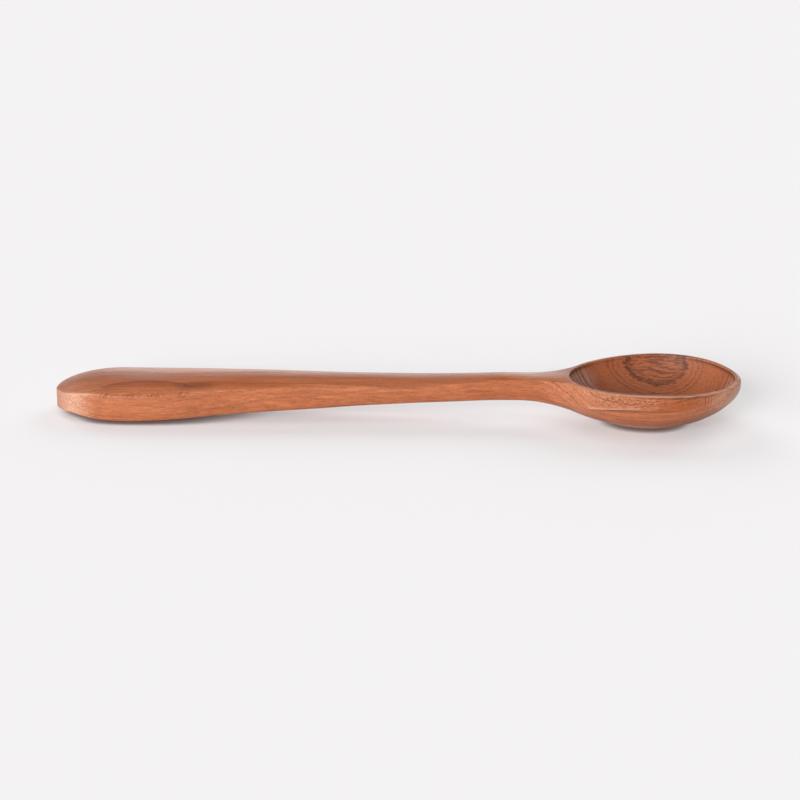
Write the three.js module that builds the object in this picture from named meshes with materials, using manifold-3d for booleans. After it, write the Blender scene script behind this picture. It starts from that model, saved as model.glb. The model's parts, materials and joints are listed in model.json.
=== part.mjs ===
// Wooden table spoon, carved from one piece of hardwood.
// Millimetres, +Z up. +X runs from the butt of the handle to the tip of the bowl, the two sides
// mirror each other across the XZ plane, and the spoon lies on z = 0 under the middle of its length.

import * as THREE from "three";
import { mergeVertices } from "three/addons/utils/BufferGeometryUtils.js";
import Module from "manifold-3d";

// Lengths along the spoon, one after another from the butt to the tip
const BUTT_TO_SWELL = 19.5;
const SWELL_TO_GRIP = 30.5;
const GRIP_TO_WAIST = 50;
const WAIST_TO_THROAT = 19;
const THROAT_TO_NECK = 17.5;
const NECK_TO_BOWL = 12.5;
const BOWL_HEEL = 27.5; // near end of the bowl's oval to its widest place
const BOWL_TOE = 23.5; // widest place of the oval to the tip

// Full widths, seen from above
const SWELL_WIDTH = 22.3;
const GRIP_WIDTH = 17.9;
const WAIST_WIDTH = 11.3;
const THROAT_WIDTH = 9.1;
const NECK_WIDTH = 6.5;
const BOWL_WIDTH = 35.9;

// Heights of the upper edge of the sides above the table
const SWELL_EDGE = 9.7;
const GRIP_EDGE = 10.8;
const WAIST_EDGE = 11.7;
const THROAT_EDGE = 12.5;
const NECK_EDGE = 13.7;
const RIM_HEIGHT = 14.7;
const BUTT_DROP = 2.3; // how far the edge falls from the swell to the butt
const TIP_DROP = 0.6; // how far the rim falls from the widest place to the tip

// Heights of the keel, the lowest line of the underside, above the table
const GRIP_KEEL = 1.5;
const WAIST_KEEL = 5.1;
const THROAT_KEEL = 6.2;
const NECK_KEEL = 6.6;
const HEEL_TO_BOTTOM = 22.7; // near end of the oval to the place where the bowl touches the table

// Sides and belly
const HANDLE_BELLY = 1.9; // keel to the lower edge of the handle's sides
const HEEL_BELLY = 3.9; // the same at the near end of the bowl
const HEEL_TO_BAND = 17; // near end of the oval to where the band below the rim is fully formed
const RIM_BAND = 4.1; // upright band below the rim
const BUTT_RISE = 1.1; // how far the lower edge rises from the swell to the butt
const TIP_RISE = 0.8; // the same from the widest place to the tip

// Crown of the upper face above its edges
const SWELL_CROWN = 1;
const WAIST_CROWN = 0.7;
const NECK_CROWN = 0.4;

// Hollow of the bowl
const RIM_AT_SIDES = 1.9; // width of the rim's flat land
const RIM_AT_HEEL = 1.1;
const RIM_AT_TIP = 1.6;
const FLOOR_THICKNESS = 3.5; // wood left under the deepest place
const HOLLOW_FLARE = 4; // height of the gouged ellipsoid's middle above the rim, so that the walls lean out

// Softened edges, and the flats sanded underneath so that the spoon lies steady
const EDGE_ROUND = 0.7;
const LOWER_ROUND = 0.9;
const HANDLE_FLAT_DEPTH = 0.15;
const BOWL_FLAT_DEPTH = 0.25;

// Shape factors
const BUTT_FULLNESS = 0.61; // of the rounded butt, where 0.55 would be a plain ellipse
const FLARE_ANGLE = THREE.MathUtils.degToRad(31); // round the oval from its near end to the neck's flare
const DOME_OVERHANG = 0.06; // how far past the outline the underside's ellipses would end, as a share

// How finely the surface is divided
const OUTLINE_STEPS = 92;
const TOP_STEPS = 4;
const CORNER_STEPS = 3;
const UNDER_STEPS = 6;
const HOLLOW_STEPS = 56;
const SPLINE_PASSES = 40; // rounds in which the slopes of a spline settle

// Places along X that the dimensions above lead to
const length = BUTT_TO_SWELL + SWELL_TO_GRIP + GRIP_TO_WAIST + WAIST_TO_THROAT
  + THROAT_TO_NECK + NECK_TO_BOWL + BOWL_HEEL + BOWL_TOE;
const buttX = -length / 2;
const swellX = buttX + BUTT_TO_SWELL;
const gripX = swellX + SWELL_TO_GRIP;
const waistX = gripX + GRIP_TO_WAIST;
const throatX = waistX + WAIST_TO_THROAT;
const neckX = throatX + THROAT_TO_NECK;
const heelX = neckX + NECK_TO_BOWL;
const bandX = heelX + HEEL_TO_BAND;
const bottomX = heelX + HEEL_TO_BOTTOM;
const widestX = heelX + BOWL_HEEL;

// A fair line through [x, value] knots: a cubic spline that is level at both ends
function rail(knots) {
  const last = knots.length - 1;
  const spans = knots.slice(1).map(([x], i) => x - knots[i][0]);
  const grades = knots.slice(1).map(([, value], i) => (value - knots[i][1]) / spans[i]);
  const slopes = knots.map(() => 0);
  for (let pass = 0; pass < SPLINE_PASSES; pass++) {
    for (let i = 1; i < last; i++) {
      const pull = 3 * (spans[i] * grades[i - 1] + spans[i - 1] * grades[i]);
      const neighbours = spans[i] * slopes[i - 1] + spans[i - 1] * slopes[i + 1];
      slopes[i] = (pull - neighbours) / (2 * (spans[i - 1] + spans[i]));
    }
  }
  const evaluate = (x) => {
    if (x <= knots[0][0]) return knots[0][1];
    if (x >= knots[last][0]) return knots[last][1];
    const i = knots.findIndex(([knotX]) => knotX > x) - 1;
    const t = (x - knots[i][0]) / spans[i];
    const rise = t * t * (3 - 2 * t);
    const lead = t * (1 - t) * (1 - t) * slopes[i] - t * t * (1 - t) * slopes[i + 1];
    return THREE.MathUtils.lerp(knots[i][1], knots[i + 1][1], rise) + spans[i] * lead;
  };
  return { knots, slopes, evaluate };
}

// Two rails that meet, both level, at the neck
function railOverNeck(handleKnots, neckValue, bowlKnots) {
  const alongHandle = rail([...handleKnots, [neckX, neckValue]]);
  const alongBowl = rail([[neckX, neckValue], ...bowlKnots]);
  return (x) => (x < neckX ? alongHandle : alongBowl).evaluate(x);
}

// The lines that shape the spoon: half width of the handle, and heights above the table
const halfWidth = rail([
  [swellX, SWELL_WIDTH / 2],
  [gripX, GRIP_WIDTH / 2],
  [waistX, WAIST_WIDTH / 2],
  [throatX, THROAT_WIDTH / 2],
  [neckX, NECK_WIDTH / 2],
]);
const edge = railOverNeck(
  [[swellX, SWELL_EDGE], [gripX, GRIP_EDGE], [waistX, WAIST_EDGE], [throatX, THROAT_EDGE]],
  NECK_EDGE,
  [[widestX, RIM_HEIGHT]],
);
const crown = railOverNeck([[swellX, SWELL_CROWN], [waistX, WAIST_CROWN]], NECK_CROWN, [[bottomX, 0]]);
const keel = railOverNeck(
  [[swellX, -HANDLE_FLAT_DEPTH], [gripX, GRIP_KEEL], [waistX, WAIST_KEEL], [throatX, THROAT_KEEL]],
  NECK_KEEL,
  [[bottomX, -BOWL_FLAT_DEPTH]],
);
const lower = railOverNeck(
  [swellX, gripX, waistX, throatX].map((x) => [x, keel(x) + HANDLE_BELLY]),
  NECK_KEEL + HANDLE_BELLY,
  [[heelX, keel(heelX) + HEEL_BELLY], [bandX, edge(bandX) - RIM_BAND], [widestX, RIM_HEIGHT - RIM_BAND]],
);

// How far a place lies past the swell towards the butt, or past the widest place towards the tip, 0 to 1
const towardsButt = (x) => Math.max(0, (swellX - x) / BUTT_TO_SWELL);
const towardsTip = (x) => Math.max(0, (x - widestX) / BOWL_TOE);

const edgeHeight = (x) => edge(x) - BUTT_DROP * towardsButt(x) ** 2 - TIP_DROP * towardsTip(x) ** 2;
const lowerHeight = (x) => lower(x) + BUTT_RISE * towardsButt(x) ** 2 + TIP_RISE * towardsTip(x) ** 2;

// Rise of the rounded underside from the keel, 0, to the lower edge of the side, 1
const domeReach = 1 + DOME_OVERHANG;
const domeSag = (share) => 1 - Math.sqrt(1 - (share / domeReach) ** 2);
const domeRise = (share) => domeSag(share) / domeSag(1);

// One side of the sawn outline seen from above: rounded butt, tapering handle, flare of the neck, oval bowl
function sideOutline() {
  const halfSwell = SWELL_WIDTH / 2;
  const path = new THREE.Path();
  path.moveTo(buttX, 0);
  path.bezierCurveTo(
    buttX, BUTT_FULLNESS * halfSwell,
    swellX - BUTT_FULLNESS * BUTT_TO_SWELL, halfSwell,
    swellX, halfSwell,
  );
  const { knots, slopes } = halfWidth;
  for (let i = 1; i < knots.length; i++) {
    const [fromX, fromY] = knots[i - 1];
    const [toX, toY] = knots[i];
    const third = (toX - fromX) / 3;
    path.bezierCurveTo(
      fromX + third, fromY + third * slopes[i - 1],
      toX - third, toY - third * slopes[i],
      toX, toY,
    );
  }
  const flareX = widestX - BOWL_HEEL * Math.cos(FLARE_ANGLE);
  const flareY = (BOWL_WIDTH / 2) * Math.sin(FLARE_ANGLE);
  const flareSlope = BOWL_WIDTH / 2 / BOWL_HEEL / Math.tan(FLARE_ANGLE);
  const neckY = NECK_WIDTH / 2;
  path.quadraticCurveTo(flareX - (flareY - neckY) / flareSlope, neckY, flareX, flareY);
  path.absellipse(widestX, 0, BOWL_HEEL, BOWL_WIDTH / 2, Math.PI - FLARE_ANGLE, Math.PI / 2, true);
  path.absellipse(widestX, 0, BOWL_TOE, BOWL_WIDTH / 2, Math.PI / 2, 0, true);
  return path.getSpacedPoints(OUTLINE_STEPS);
}

// A rib of the carved surface: from the middle of the upper face over the edge, down the side and under
// to the keel. The ribs stand square to the spoon between the swell and the bottom of the bowl, and fan
// out round the butt and the tip from there.
function rib(outer) {
  const spineX = THREE.MathUtils.clamp(outer.x, swellX, bottomX);
  const reach = Math.hypot(outer.x - spineX, outer.y);
  const topEdge = edgeHeight(outer.x);
  const lowEdge = lowerHeight(outer.x);
  const spineTop = edge(spineX) + crown(spineX);
  const spineKeel = keel(spineX);
  const at = (share, z) => new THREE.Vector3(
    THREE.MathUtils.lerp(spineX, outer.x, share), outer.y * share, z);
  const topAt = (share) => at(share, THREE.MathUtils.lerp(spineTop, topEdge, share * share));
  const underAt = (share) => at(share, THREE.MathUtils.lerp(spineKeel, lowEdge, domeRise(share)));

  const topShare = 1 - EDGE_ROUND / reach;
  const underShare = 1 - LOWER_ROUND / reach;
  const topCorner = new THREE.QuadraticBezierCurve3(
    topAt(topShare), at(1, topEdge), at(1, topEdge - EDGE_ROUND));
  const lowCorner = new THREE.QuadraticBezierCurve3(
    at(1, lowEdge + LOWER_ROUND), at(1, lowEdge), underAt(underShare));

  const points = [];
  for (let i = 0; i < TOP_STEPS; i++) points.push(topAt((topShare * i) / TOP_STEPS));
  points.push(...topCorner.getPoints(CORNER_STEPS), ...lowCorner.getPoints(CORNER_STEPS));
  const underAngle = Math.asin(underShare / domeReach);
  for (let i = UNDER_STEPS - 1; i >= 0; i--) {
    points.push(underAt(domeReach * Math.sin((underAngle * i) / UNDER_STEPS)));
  }
  return points;
}

// The closed surface that runs over all the ribs, once round the outline
function ribbedBody() {
  const side = sideOutline();
  const mirrored = side.slice(1, -1).reverse().map((point) => new THREE.Vector2(point.x, -point.y));
  const ribs = [...side, ...mirrored].map(rib);
  const rows = ribs[0].length;
  const indices = [];
  for (let i = 0; i < ribs.length; i++) {
    const next = (i + 1) % ribs.length;
    for (let j = 0; j + 1 < rows; j++) {
      const corners = [i * rows + j, i * rows + j + 1, next * rows + j + 1, next * rows + j];
      indices.push(corners[0], corners[2], corners[1], corners[0], corners[3], corners[2]);
    }
  }
  const geometry = new THREE.BufferGeometry().setFromPoints(ribs.flat());
  geometry.setIndex(indices);
  return geometry;
}

// The gouged hollow: an ellipsoid that is longer towards the heel than towards the tip
function hollowGeometry() {
  const depth = RIM_HEIGHT - FLOOR_THICKNESS;
  const halfHeight = depth + HOLLOW_FLARE;
  const widening = 1 / Math.sqrt(1 - (HOLLOW_FLARE / halfHeight) ** 2);
  const heelReach = (BOWL_HEEL - RIM_AT_HEEL) * widening;
  const toeReach = (BOWL_TOE - RIM_AT_TIP) * widening;
  const sideReach = (BOWL_WIDTH / 2 - RIM_AT_SIDES) * widening;
  const geometry = new THREE.SphereGeometry(1, HOLLOW_STEPS, HOLLOW_STEPS / 2);
  geometry.rotateX(Math.PI / 2);
  const position = geometry.attributes.position;
  for (let i = 0; i < position.count; i++) {
    const x = position.getX(i);
    position.setXYZ(
      i,
      widestX + x * (x < 0 ? heelReach : toeReach),
      position.getY(i) * sideReach,
      RIM_HEIGHT + HOLLOW_FLARE + position.getZ(i) * halfHeight,
    );
  }
  return geometry;
}

// The table's side of z = 0, as a block that takes the two rest flats off the underside
function tableGeometry() {
  const geometry = new THREE.BoxGeometry(2 * length, 2 * BOWL_WIDTH, RIM_HEIGHT);
  geometry.translate(0, 0, -RIM_HEIGHT / 2);
  return geometry;
}

// Solids for cutting: only positions are kept, and triangles that shrank to a line are left out
const wasm = await Module();
wasm.setup();

function solid(geometry) {
  geometry.deleteAttribute("normal");
  geometry.deleteAttribute("uv");
  const merged = mergeVertices(geometry);
  const index = merged.index.array;
  const triangles = [];
  for (let i = 0; i < index.length; i += 3) {
    const [a, b, c] = index.slice(i, i + 3);
    if (a !== b && b !== c && c !== a) triangles.push(a, b, c);
  }
  return new wasm.Manifold(new wasm.Mesh({
    numProp: 3,
    vertProperties: merged.attributes.position.array,
    triVerts: new Uint32Array(triangles),
  }));
}

function geometryOf(manifold) {
  const mesh = manifold.getMesh();
  const geometry = new THREE.BufferGeometry();
  geometry.setAttribute("position", new THREE.BufferAttribute(mesh.vertProperties, 3));
  geometry.setIndex(new THREE.BufferAttribute(mesh.triVerts, 1));
  geometry.computeVertexNormals();
  return geometry;
}

const oiledHardwood = new THREE.MeshStandardMaterial({ color: 0xbf7650, roughness: 0.5, metalness: 0 });

const carved = solid(ribbedBody()).subtract(solid(hollowGeometry())).subtract(solid(tableGeometry()));
const spoon = new THREE.Mesh(geometryOf(carved), oiledHardwood);
spoon.name = "spoon";

const group = new THREE.Group();
group.add(spoon);

export default group;
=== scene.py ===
"""Wooden table spoon: the carved surface in fine detail, its wood, and the studio that it lies in.

Shapes are worked out in millimetres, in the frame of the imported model, and become metres in the mesh.
"""

import json
import math

import bmesh
import bpy
import numpy as np
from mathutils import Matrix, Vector, noise


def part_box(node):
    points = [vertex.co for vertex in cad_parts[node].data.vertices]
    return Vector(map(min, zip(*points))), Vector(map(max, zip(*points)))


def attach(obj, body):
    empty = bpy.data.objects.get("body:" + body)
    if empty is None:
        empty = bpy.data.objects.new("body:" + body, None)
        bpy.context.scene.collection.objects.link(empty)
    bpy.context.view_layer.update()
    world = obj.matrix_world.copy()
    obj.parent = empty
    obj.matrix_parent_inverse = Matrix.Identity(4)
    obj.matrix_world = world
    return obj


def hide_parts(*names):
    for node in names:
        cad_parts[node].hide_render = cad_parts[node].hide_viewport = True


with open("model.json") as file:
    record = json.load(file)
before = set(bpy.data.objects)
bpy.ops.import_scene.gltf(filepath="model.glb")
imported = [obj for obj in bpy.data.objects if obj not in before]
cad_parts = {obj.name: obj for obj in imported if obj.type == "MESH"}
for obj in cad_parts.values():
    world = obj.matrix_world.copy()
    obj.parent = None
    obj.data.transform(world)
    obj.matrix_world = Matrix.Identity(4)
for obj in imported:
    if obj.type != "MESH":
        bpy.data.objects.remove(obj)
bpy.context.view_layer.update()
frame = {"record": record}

MM = 0.001

# The frame gives the ends, the rim, the bowl's width and the place where the handle rests
lowest, highest = (np.array(corner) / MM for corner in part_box("spoon"))
mounts = {mount["name"]: np.array(mount["pos_m"]) / MM for mount in frame["record"]["mounts"]}
BUTT_X = lowest[0]
TIP_X = highest[0]
RIM_HEIGHT = highest[2]
BOWL_WIDTH = highest[1] - lowest[1]
SWELL_X = mounts["handle_rest"][0]

# Lengths along the spoon
SWELL_TO_GRIP = 30.5
GRIP_TO_WAIST = 50
WAIST_TO_THROAT = 19
THROAT_TO_NECK = 17.5
NECK_TO_BOWL = 12.5
BOWL_TOE = 23.5  # widest place of the bowl's oval to the tip
HEEL_TO_BAND = 17
HEEL_TO_BOTTOM = 22.7
NECK_TO_JOIN = 6  # to where the ribs of the handle meet the rays of the bowl

GRIP_X = SWELL_X + SWELL_TO_GRIP
WAIST_X = GRIP_X + GRIP_TO_WAIST
THROAT_X = WAIST_X + WAIST_TO_THROAT
NECK_X = THROAT_X + THROAT_TO_NECK
HEEL_X = NECK_X + NECK_TO_BOWL
BAND_X = HEEL_X + HEEL_TO_BAND
BOTTOM_X = HEEL_X + HEEL_TO_BOTTOM
WIDEST_X = TIP_X - BOWL_TOE
BOWL_HEEL = WIDEST_X - HEEL_X
JOIN_X = NECK_X + NECK_TO_JOIN

# Full widths, seen from above
SWELL_WIDTH = 22.3
GRIP_WIDTH = 17.9
WAIST_WIDTH = 11.3
THROAT_WIDTH = 9.1
NECK_WIDTH = 6.5

# Heights of the upper edge, the keel and the lower edge of the sides
SWELL_EDGE = 9.7
GRIP_EDGE = 10.8
WAIST_EDGE = 11.7
THROAT_EDGE = 12.5
NECK_EDGE = 13.7
BUTT_DROP = 2.3
TIP_DROP = 0.6
GRIP_KEEL = 1.5
WAIST_KEEL = 5.1
THROAT_KEEL = 6.2
NECK_KEEL = 6.6
HANDLE_BELLY = 1.9
HEEL_BELLY = 3.9
RIM_BAND = 4.1
BUTT_RISE = 1.1
TIP_RISE = 0.8
HANDLE_FLAT_DEPTH = 0.15
BOWL_FLAT_DEPTH = 0.25
SWELL_CROWN = 1.35
WAIST_CROWN = 1
NECK_CROWN = 0.45
NEAR_ROLL = 2  # power of the fall from the crown to the near edge
FAR_ROLL = 2.6

# Hollow of the bowl
RIM_AT_SIDES = 1.9
RIM_AT_FAR_SIDE = 1.1  # the far rim is carved thinner
RIM_AT_HEEL = 1.1
RIM_AT_TIP = 1.6
RIM_AT_FAR_TIP = 0.9
RIM_BLEND = 6  # to either side of the middle
FLOOR_THICKNESS = 3.5
HOLLOW_FLARE = 4
RIM_ROUND = 0.16

# Shape factors
BUTT_FULLNESS = 0.61
FLARE_ANGLE = math.radians(31)
DOME_OVERHANG = 0.06

# Flat end that is planed across the near corner of the butt: its direction seen from above, its distance
# from the origin, and the part of the roundness that it takes off
BUTT_FACET_FACING = np.array([-0.869, -0.494])
BUTT_FACET_OFFSET = 87.47
BUTT_FACET_FLATNESS = 0.9

# Spacing of the mesh
FINE_STEPS = 400
RIM_STEPS = 4000
RIM_HALVINGS = 40  # in the search for the rim's inner edge
TOP_ROWS = 14
CORNER_ROWS = 6
BAND_ROWS = 8
UNDER_ROWS = 22
LAND_ROWS = 6
HOLLOW_ROWS = 56
HOLLOW_CROWDING = 1.5  # rows of the hollow lie closer towards its rim
CORNER_LIMIT = 0.8  # the most of the way to the spine that a softened edge takes
WELD = 1e-6  # points closer than this become one; also the least width that is divided by
SLIVER = WELD / 10  # edges shorter than this are taken out


def mix(a, b, share):
    return a + (b - a) * share


def smooth(share):
    """A change from 0 to 1 that starts and ends level."""
    return share * share * (3 - 2 * share)


def rail(knots):
    """A fair line through (x, value) knots: a cubic spline that is level at both ends."""
    x, value = np.array(knots, float).T
    span = np.diff(x)
    grade = np.diff(value) / span
    matrix = np.eye(len(x))
    pull = np.zeros(len(x))
    for i in range(1, len(x) - 1):
        matrix[i, i - 1:i + 2] = span[i], 2 * (span[i - 1] + span[i]), span[i - 1]
        pull[i] = 3 * (span[i] * grade[i - 1] + span[i - 1] * grade[i])
    slope = np.linalg.solve(matrix, pull)

    def evaluate(at):
        at = np.clip(at, x[0], x[-1])
        i = np.clip(np.searchsorted(x, at, side="right") - 1, 0, len(span) - 1)
        t = (at - x[i]) / span[i]
        lead = t * (1 - t) ** 2 * slope[i] - t * t * (1 - t) * slope[i + 1]
        return mix(value[i], value[i + 1], smooth(t)) + span[i] * lead
    return evaluate


def rail_over_neck(handle_knots, neck_value, bowl_knots):
    """Two rails that meet, both level, at the neck."""
    along_handle = rail([*handle_knots, (NECK_X, neck_value)])
    along_bowl = rail([(NECK_X, neck_value), *bowl_knots])
    return lambda at: np.where(at < NECK_X, along_handle(at), along_bowl(at))


def eased(knots):
    """A line through (x, value) knots that is level at every knot, so that it never passes their values."""
    x, value = np.array(knots, float).T

    def evaluate(at):
        at = np.clip(at, x[0], x[-1])
        i = np.clip(np.searchsorted(x, at, side="right") - 1, 0, len(x) - 2)
        t = (at - x[i]) / (x[i + 1] - x[i])
        return mix(value[i], value[i + 1], smooth(t))
    return evaluate


half_width = rail([
    (SWELL_X, SWELL_WIDTH / 2), (GRIP_X, GRIP_WIDTH / 2), (WAIST_X, WAIST_WIDTH / 2),
    (THROAT_X, THROAT_WIDTH / 2), (NECK_X, NECK_WIDTH / 2)])
edge = rail_over_neck(
    [(SWELL_X, SWELL_EDGE), (GRIP_X, GRIP_EDGE), (WAIST_X, WAIST_EDGE), (THROAT_X, THROAT_EDGE)],
    NECK_EDGE, [(WIDEST_X, RIM_HEIGHT)])
crown = rail_over_neck([(SWELL_X, SWELL_CROWN), (WAIST_X, WAIST_CROWN)], NECK_CROWN, [(BOTTOM_X, 0)])
keel = rail_over_neck(
    [(SWELL_X, -HANDLE_FLAT_DEPTH), (GRIP_X, GRIP_KEEL), (WAIST_X, WAIST_KEEL), (THROAT_X, THROAT_KEEL)],
    NECK_KEEL, [(BOTTOM_X, -BOWL_FLAT_DEPTH)])
lower = rail_over_neck(
    [(x, keel(x) + HANDLE_BELLY) for x in (SWELL_X, GRIP_X, WAIST_X, THROAT_X)],
    NECK_KEEL + HANDLE_BELLY,
    [(HEEL_X, keel(HEEL_X) + HEEL_BELLY), (BAND_X, edge(BAND_X) - RIM_BAND),
     (WIDEST_X, RIM_HEIGHT - RIM_BAND)])

# How far the softened edges reach, as (x, reach) knots. The near upper edge, in over the upper face and down
# the side, is crisp at the butt, the neck and the rim, and worn round at the swell and the waist.
near_edge_in = eased([
    (BUTT_X, 0.3), (-90, 0.35), (-80, 3), (-68, 4.2), (-55, 1.2), (-42, 0.9), (-18, 1.6), (4, 1.9),
    (22, 0.5), (NECK_X, 0.2), (WIDEST_X, 0.2), (TIP_X, 0.4)])
near_edge_down = eased([
    (BUTT_X, 0.25), (-90, 0.3), (-80, 1.3), (-68, 1.5), (-55, 0.7), (-42, 0.5), (-18, 1), (4, 1.2),
    (22, 0.35), (NECK_X, 0.2), (WIDEST_X, 0.2), (TIP_X, 0.4)])
far_edge_round = eased([
    (BUTT_X, 0.4), (SWELL_X, 0.6), (WAIST_X, 1), (THROAT_X, 0.6), (NECK_X, 0.3), (WIDEST_X, 0.25),
    (TIP_X, 0.4)])
lower_round = eased([
    (BUTT_X, 0.35), (SWELL_X, 0.7), (NECK_X, 0.8), (HEEL_X + 6, 0.15), (BAND_X, 0.15),
    (WIDEST_X, 0.5), (TIP_X - 10, 1.5), (TIP_X, 1.2)])

# Hand-made unevenness, as (x, height) knots: the far edge wavers along the handle and stands proud beside
# the toe, and the lower edge of the sides leaves its fair line, most at the butt and beside the neck
far_lift = rail([
    (BUTT_X, 0.1), (SWELL_X, 0.12), (-62, 0.1), (-40, -0.05), (-22, -0.15), (WAIST_X, 0.1), (12, 0.2),
    (NECK_X, 0), (HEEL_X, 0), (BAND_X, 0.22), (WIDEST_X + 8, 0.5), (TIP_X - 4, 0.2), (TIP_X, 0)])
lower_trim = rail([
    (BUTT_X, -1.1), (-96.5, 0.1), (-93, 0.3), (-86, -0.2), (-75, -0.45), (-63, -0.35), (GRIP_X, -0.1),
    (-27, -0.3), (WAIST_X, -0.15), (THROAT_X, -0.65), (NECK_X, -0.7), (HEEL_X - 2, -0.9), (BAND_X, -0.2),
    (TIP_X, 0)])

# How far the underside stands in below the band
ledge = eased([
    (NECK_X, 0), (HEEL_X + 4, 0.1), (BAND_X, 0.35), (WIDEST_X, 0.25), (TIP_X - 8, 0), (TIP_X, 0)])

# Distance between the columns of the mesh, finer where the edge is nicked and where the band is scored
column_step = eased([
    (BUTT_X, 0.3), (-90, 0.3), (-86, 0.16), (-55, 0.16), (-48, 0.42), (86, 0.42), (89, 0.15),
    (92, 0.15), (95, 0.42), (TIP_X, 0.42)])


def past_swell(x):
    """Share of the way from the swell to the butt, and 0 elsewhere."""
    return np.maximum(0, (SWELL_X - x) / (SWELL_X - BUTT_X))


def past_widest(x):
    """Share of the way from the widest place to the tip, and 0 elsewhere."""
    return np.maximum(0, (x - WIDEST_X) / BOWL_TOE)


def farness(x, y):
    """0 on the near side and 1 on the far side of the outline, changing evenly round the butt and the tip."""
    reach = np.where(x < SWELL_X, SWELL_WIDTH / 2, np.where(x > WIDEST_X, BOWL_WIDTH / 2, abs(y)))
    share = np.clip(0.5 + 0.5 * y / np.maximum(reach, WELD), 0, 1)
    return smooth(share)


def edge_height(x, far):
    """Height of the upper edge of the sides."""
    level = edge(x) - BUTT_DROP * past_swell(x) ** 2 - TIP_DROP * past_widest(x) ** 2
    return level + far * far_lift(x)


def lower_height(x):
    """Height of the lower edge of the sides."""
    return lower(x) + lower_trim(x) + BUTT_RISE * past_swell(x) ** 2 + TIP_RISE * past_widest(x) ** 2


def dome_rise(share):
    """Rise of the rounded underside from the keel, 0, to the lower edge of the side, 1."""
    sag = 1 - np.sqrt(1 - (share / (1 + DOME_OVERHANG)) ** 2)
    return sag / (1 - math.sqrt(1 - (1 / (1 + DOME_OVERHANG)) ** 2))


def bezier(controls, count):
    """Points along a Bezier curve, or along one for each row of the control points."""
    controls = [np.asarray(point, float) for point in controls]
    t = np.linspace(0, 1, count).reshape(-1, *[1] * controls[0].ndim)
    points = [point[None] for point in controls]
    while len(points) > 1:
        points = [mix(a, b, t) for a, b in zip(points, points[1:])]
    return points[0]


def side_outline():
    """One side of the outline seen from above, from the butt to the tip."""
    half_swell = SWELL_WIDTH / 2
    half_neck = NECK_WIDTH / 2
    half_bowl = BOWL_WIDTH / 2
    butt = bezier([
        (BUTT_X, 0), (BUTT_X, BUTT_FULLNESS * half_swell),
        (mix(SWELL_X, BUTT_X, BUTT_FULLNESS), half_swell), (SWELL_X, half_swell)], FINE_STEPS)
    along = np.linspace(SWELL_X, NECK_X, FINE_STEPS)
    handle = np.column_stack([along, half_width(along)])
    flare_end = np.array([WIDEST_X - BOWL_HEEL * math.cos(FLARE_ANGLE), half_bowl * math.sin(FLARE_ANGLE)])
    flare_slope = half_bowl / BOWL_HEEL / math.tan(FLARE_ANGLE)
    flare_bend = (flare_end[0] - (flare_end[1] - half_neck) / flare_slope, half_neck)
    flare = bezier([(NECK_X, half_neck), flare_bend, flare_end], FINE_STEPS)
    turn = np.linspace(math.pi - FLARE_ANGLE, math.pi / 2, FINE_STEPS)
    heel = np.column_stack([WIDEST_X + BOWL_HEEL * np.cos(turn), half_bowl * np.sin(turn)])
    turn = np.linspace(math.pi / 2, 0, FINE_STEPS)
    toe = np.column_stack([WIDEST_X + BOWL_TOE * np.cos(turn), half_bowl * np.sin(turn)])
    return np.vstack([butt, handle[1:], flare[1:], heel[1:], toe[1:]])


def spaced(points):
    """The same line with its points about a column's step apart."""
    gaps = np.linalg.norm(np.diff(points, axis=0), axis=1)
    way = np.concatenate([[0], np.cumsum(gaps / column_step(points[1:, 0]))])
    at = np.linspace(0, way[-1], round(way[-1]) + 1)
    return np.column_stack([np.interp(at, way, column) for column in points.T])


OUTLINE = side_outline()
TOE_FAN = OUTLINE[OUTLINE[:, 0] >= BOTTOM_X][::-1]
TOE_FAN_ANGLE = np.arctan2(TOE_FAN[:, 1], TOE_FAN[:, 0] - BOTTOM_X)


def outline_reach(x):
    """Distance of the outline from the middle, seen from above."""
    return np.interp(x, OUTLINE[:, 0], OUTLINE[:, 1])


def top_height(spine_x, outer_x, share, far):
    """Height of the crowned upper face, at a share of the way from the spine to the outline."""
    roll = mix(NEAR_ROLL, FAR_ROLL, far)
    return mix(edge(spine_x) + crown(spine_x), edge_height(outer_x, far), share ** roll)


def bowl_top(plan):
    """Height of the uncut upper face at places of the bowl seen from above."""
    x = plan[..., 0]
    y = abs(plan[..., 1])
    angle = np.arctan2(y, x - BOTTOM_X)
    fan_x = np.interp(angle, TOE_FAN_ANGLE, TOE_FAN[:, 0])
    fan_y = np.interp(angle, TOE_FAN_ANGLE, TOE_FAN[:, 1])
    in_fan = x > BOTTOM_X
    outer_x = np.where(in_fan, fan_x, x)
    fan_share = np.hypot(x - BOTTOM_X, y) / np.hypot(fan_x - BOTTOM_X, fan_y)
    share = np.where(in_fan, fan_share, y / np.maximum(outline_reach(x), WELD))
    outer_y = np.where(in_fan, fan_y, y) * np.sign(plan[..., 1])
    return top_height(np.minimum(x, BOTTOM_X), outer_x, share, farness(outer_x, outer_y))


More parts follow.
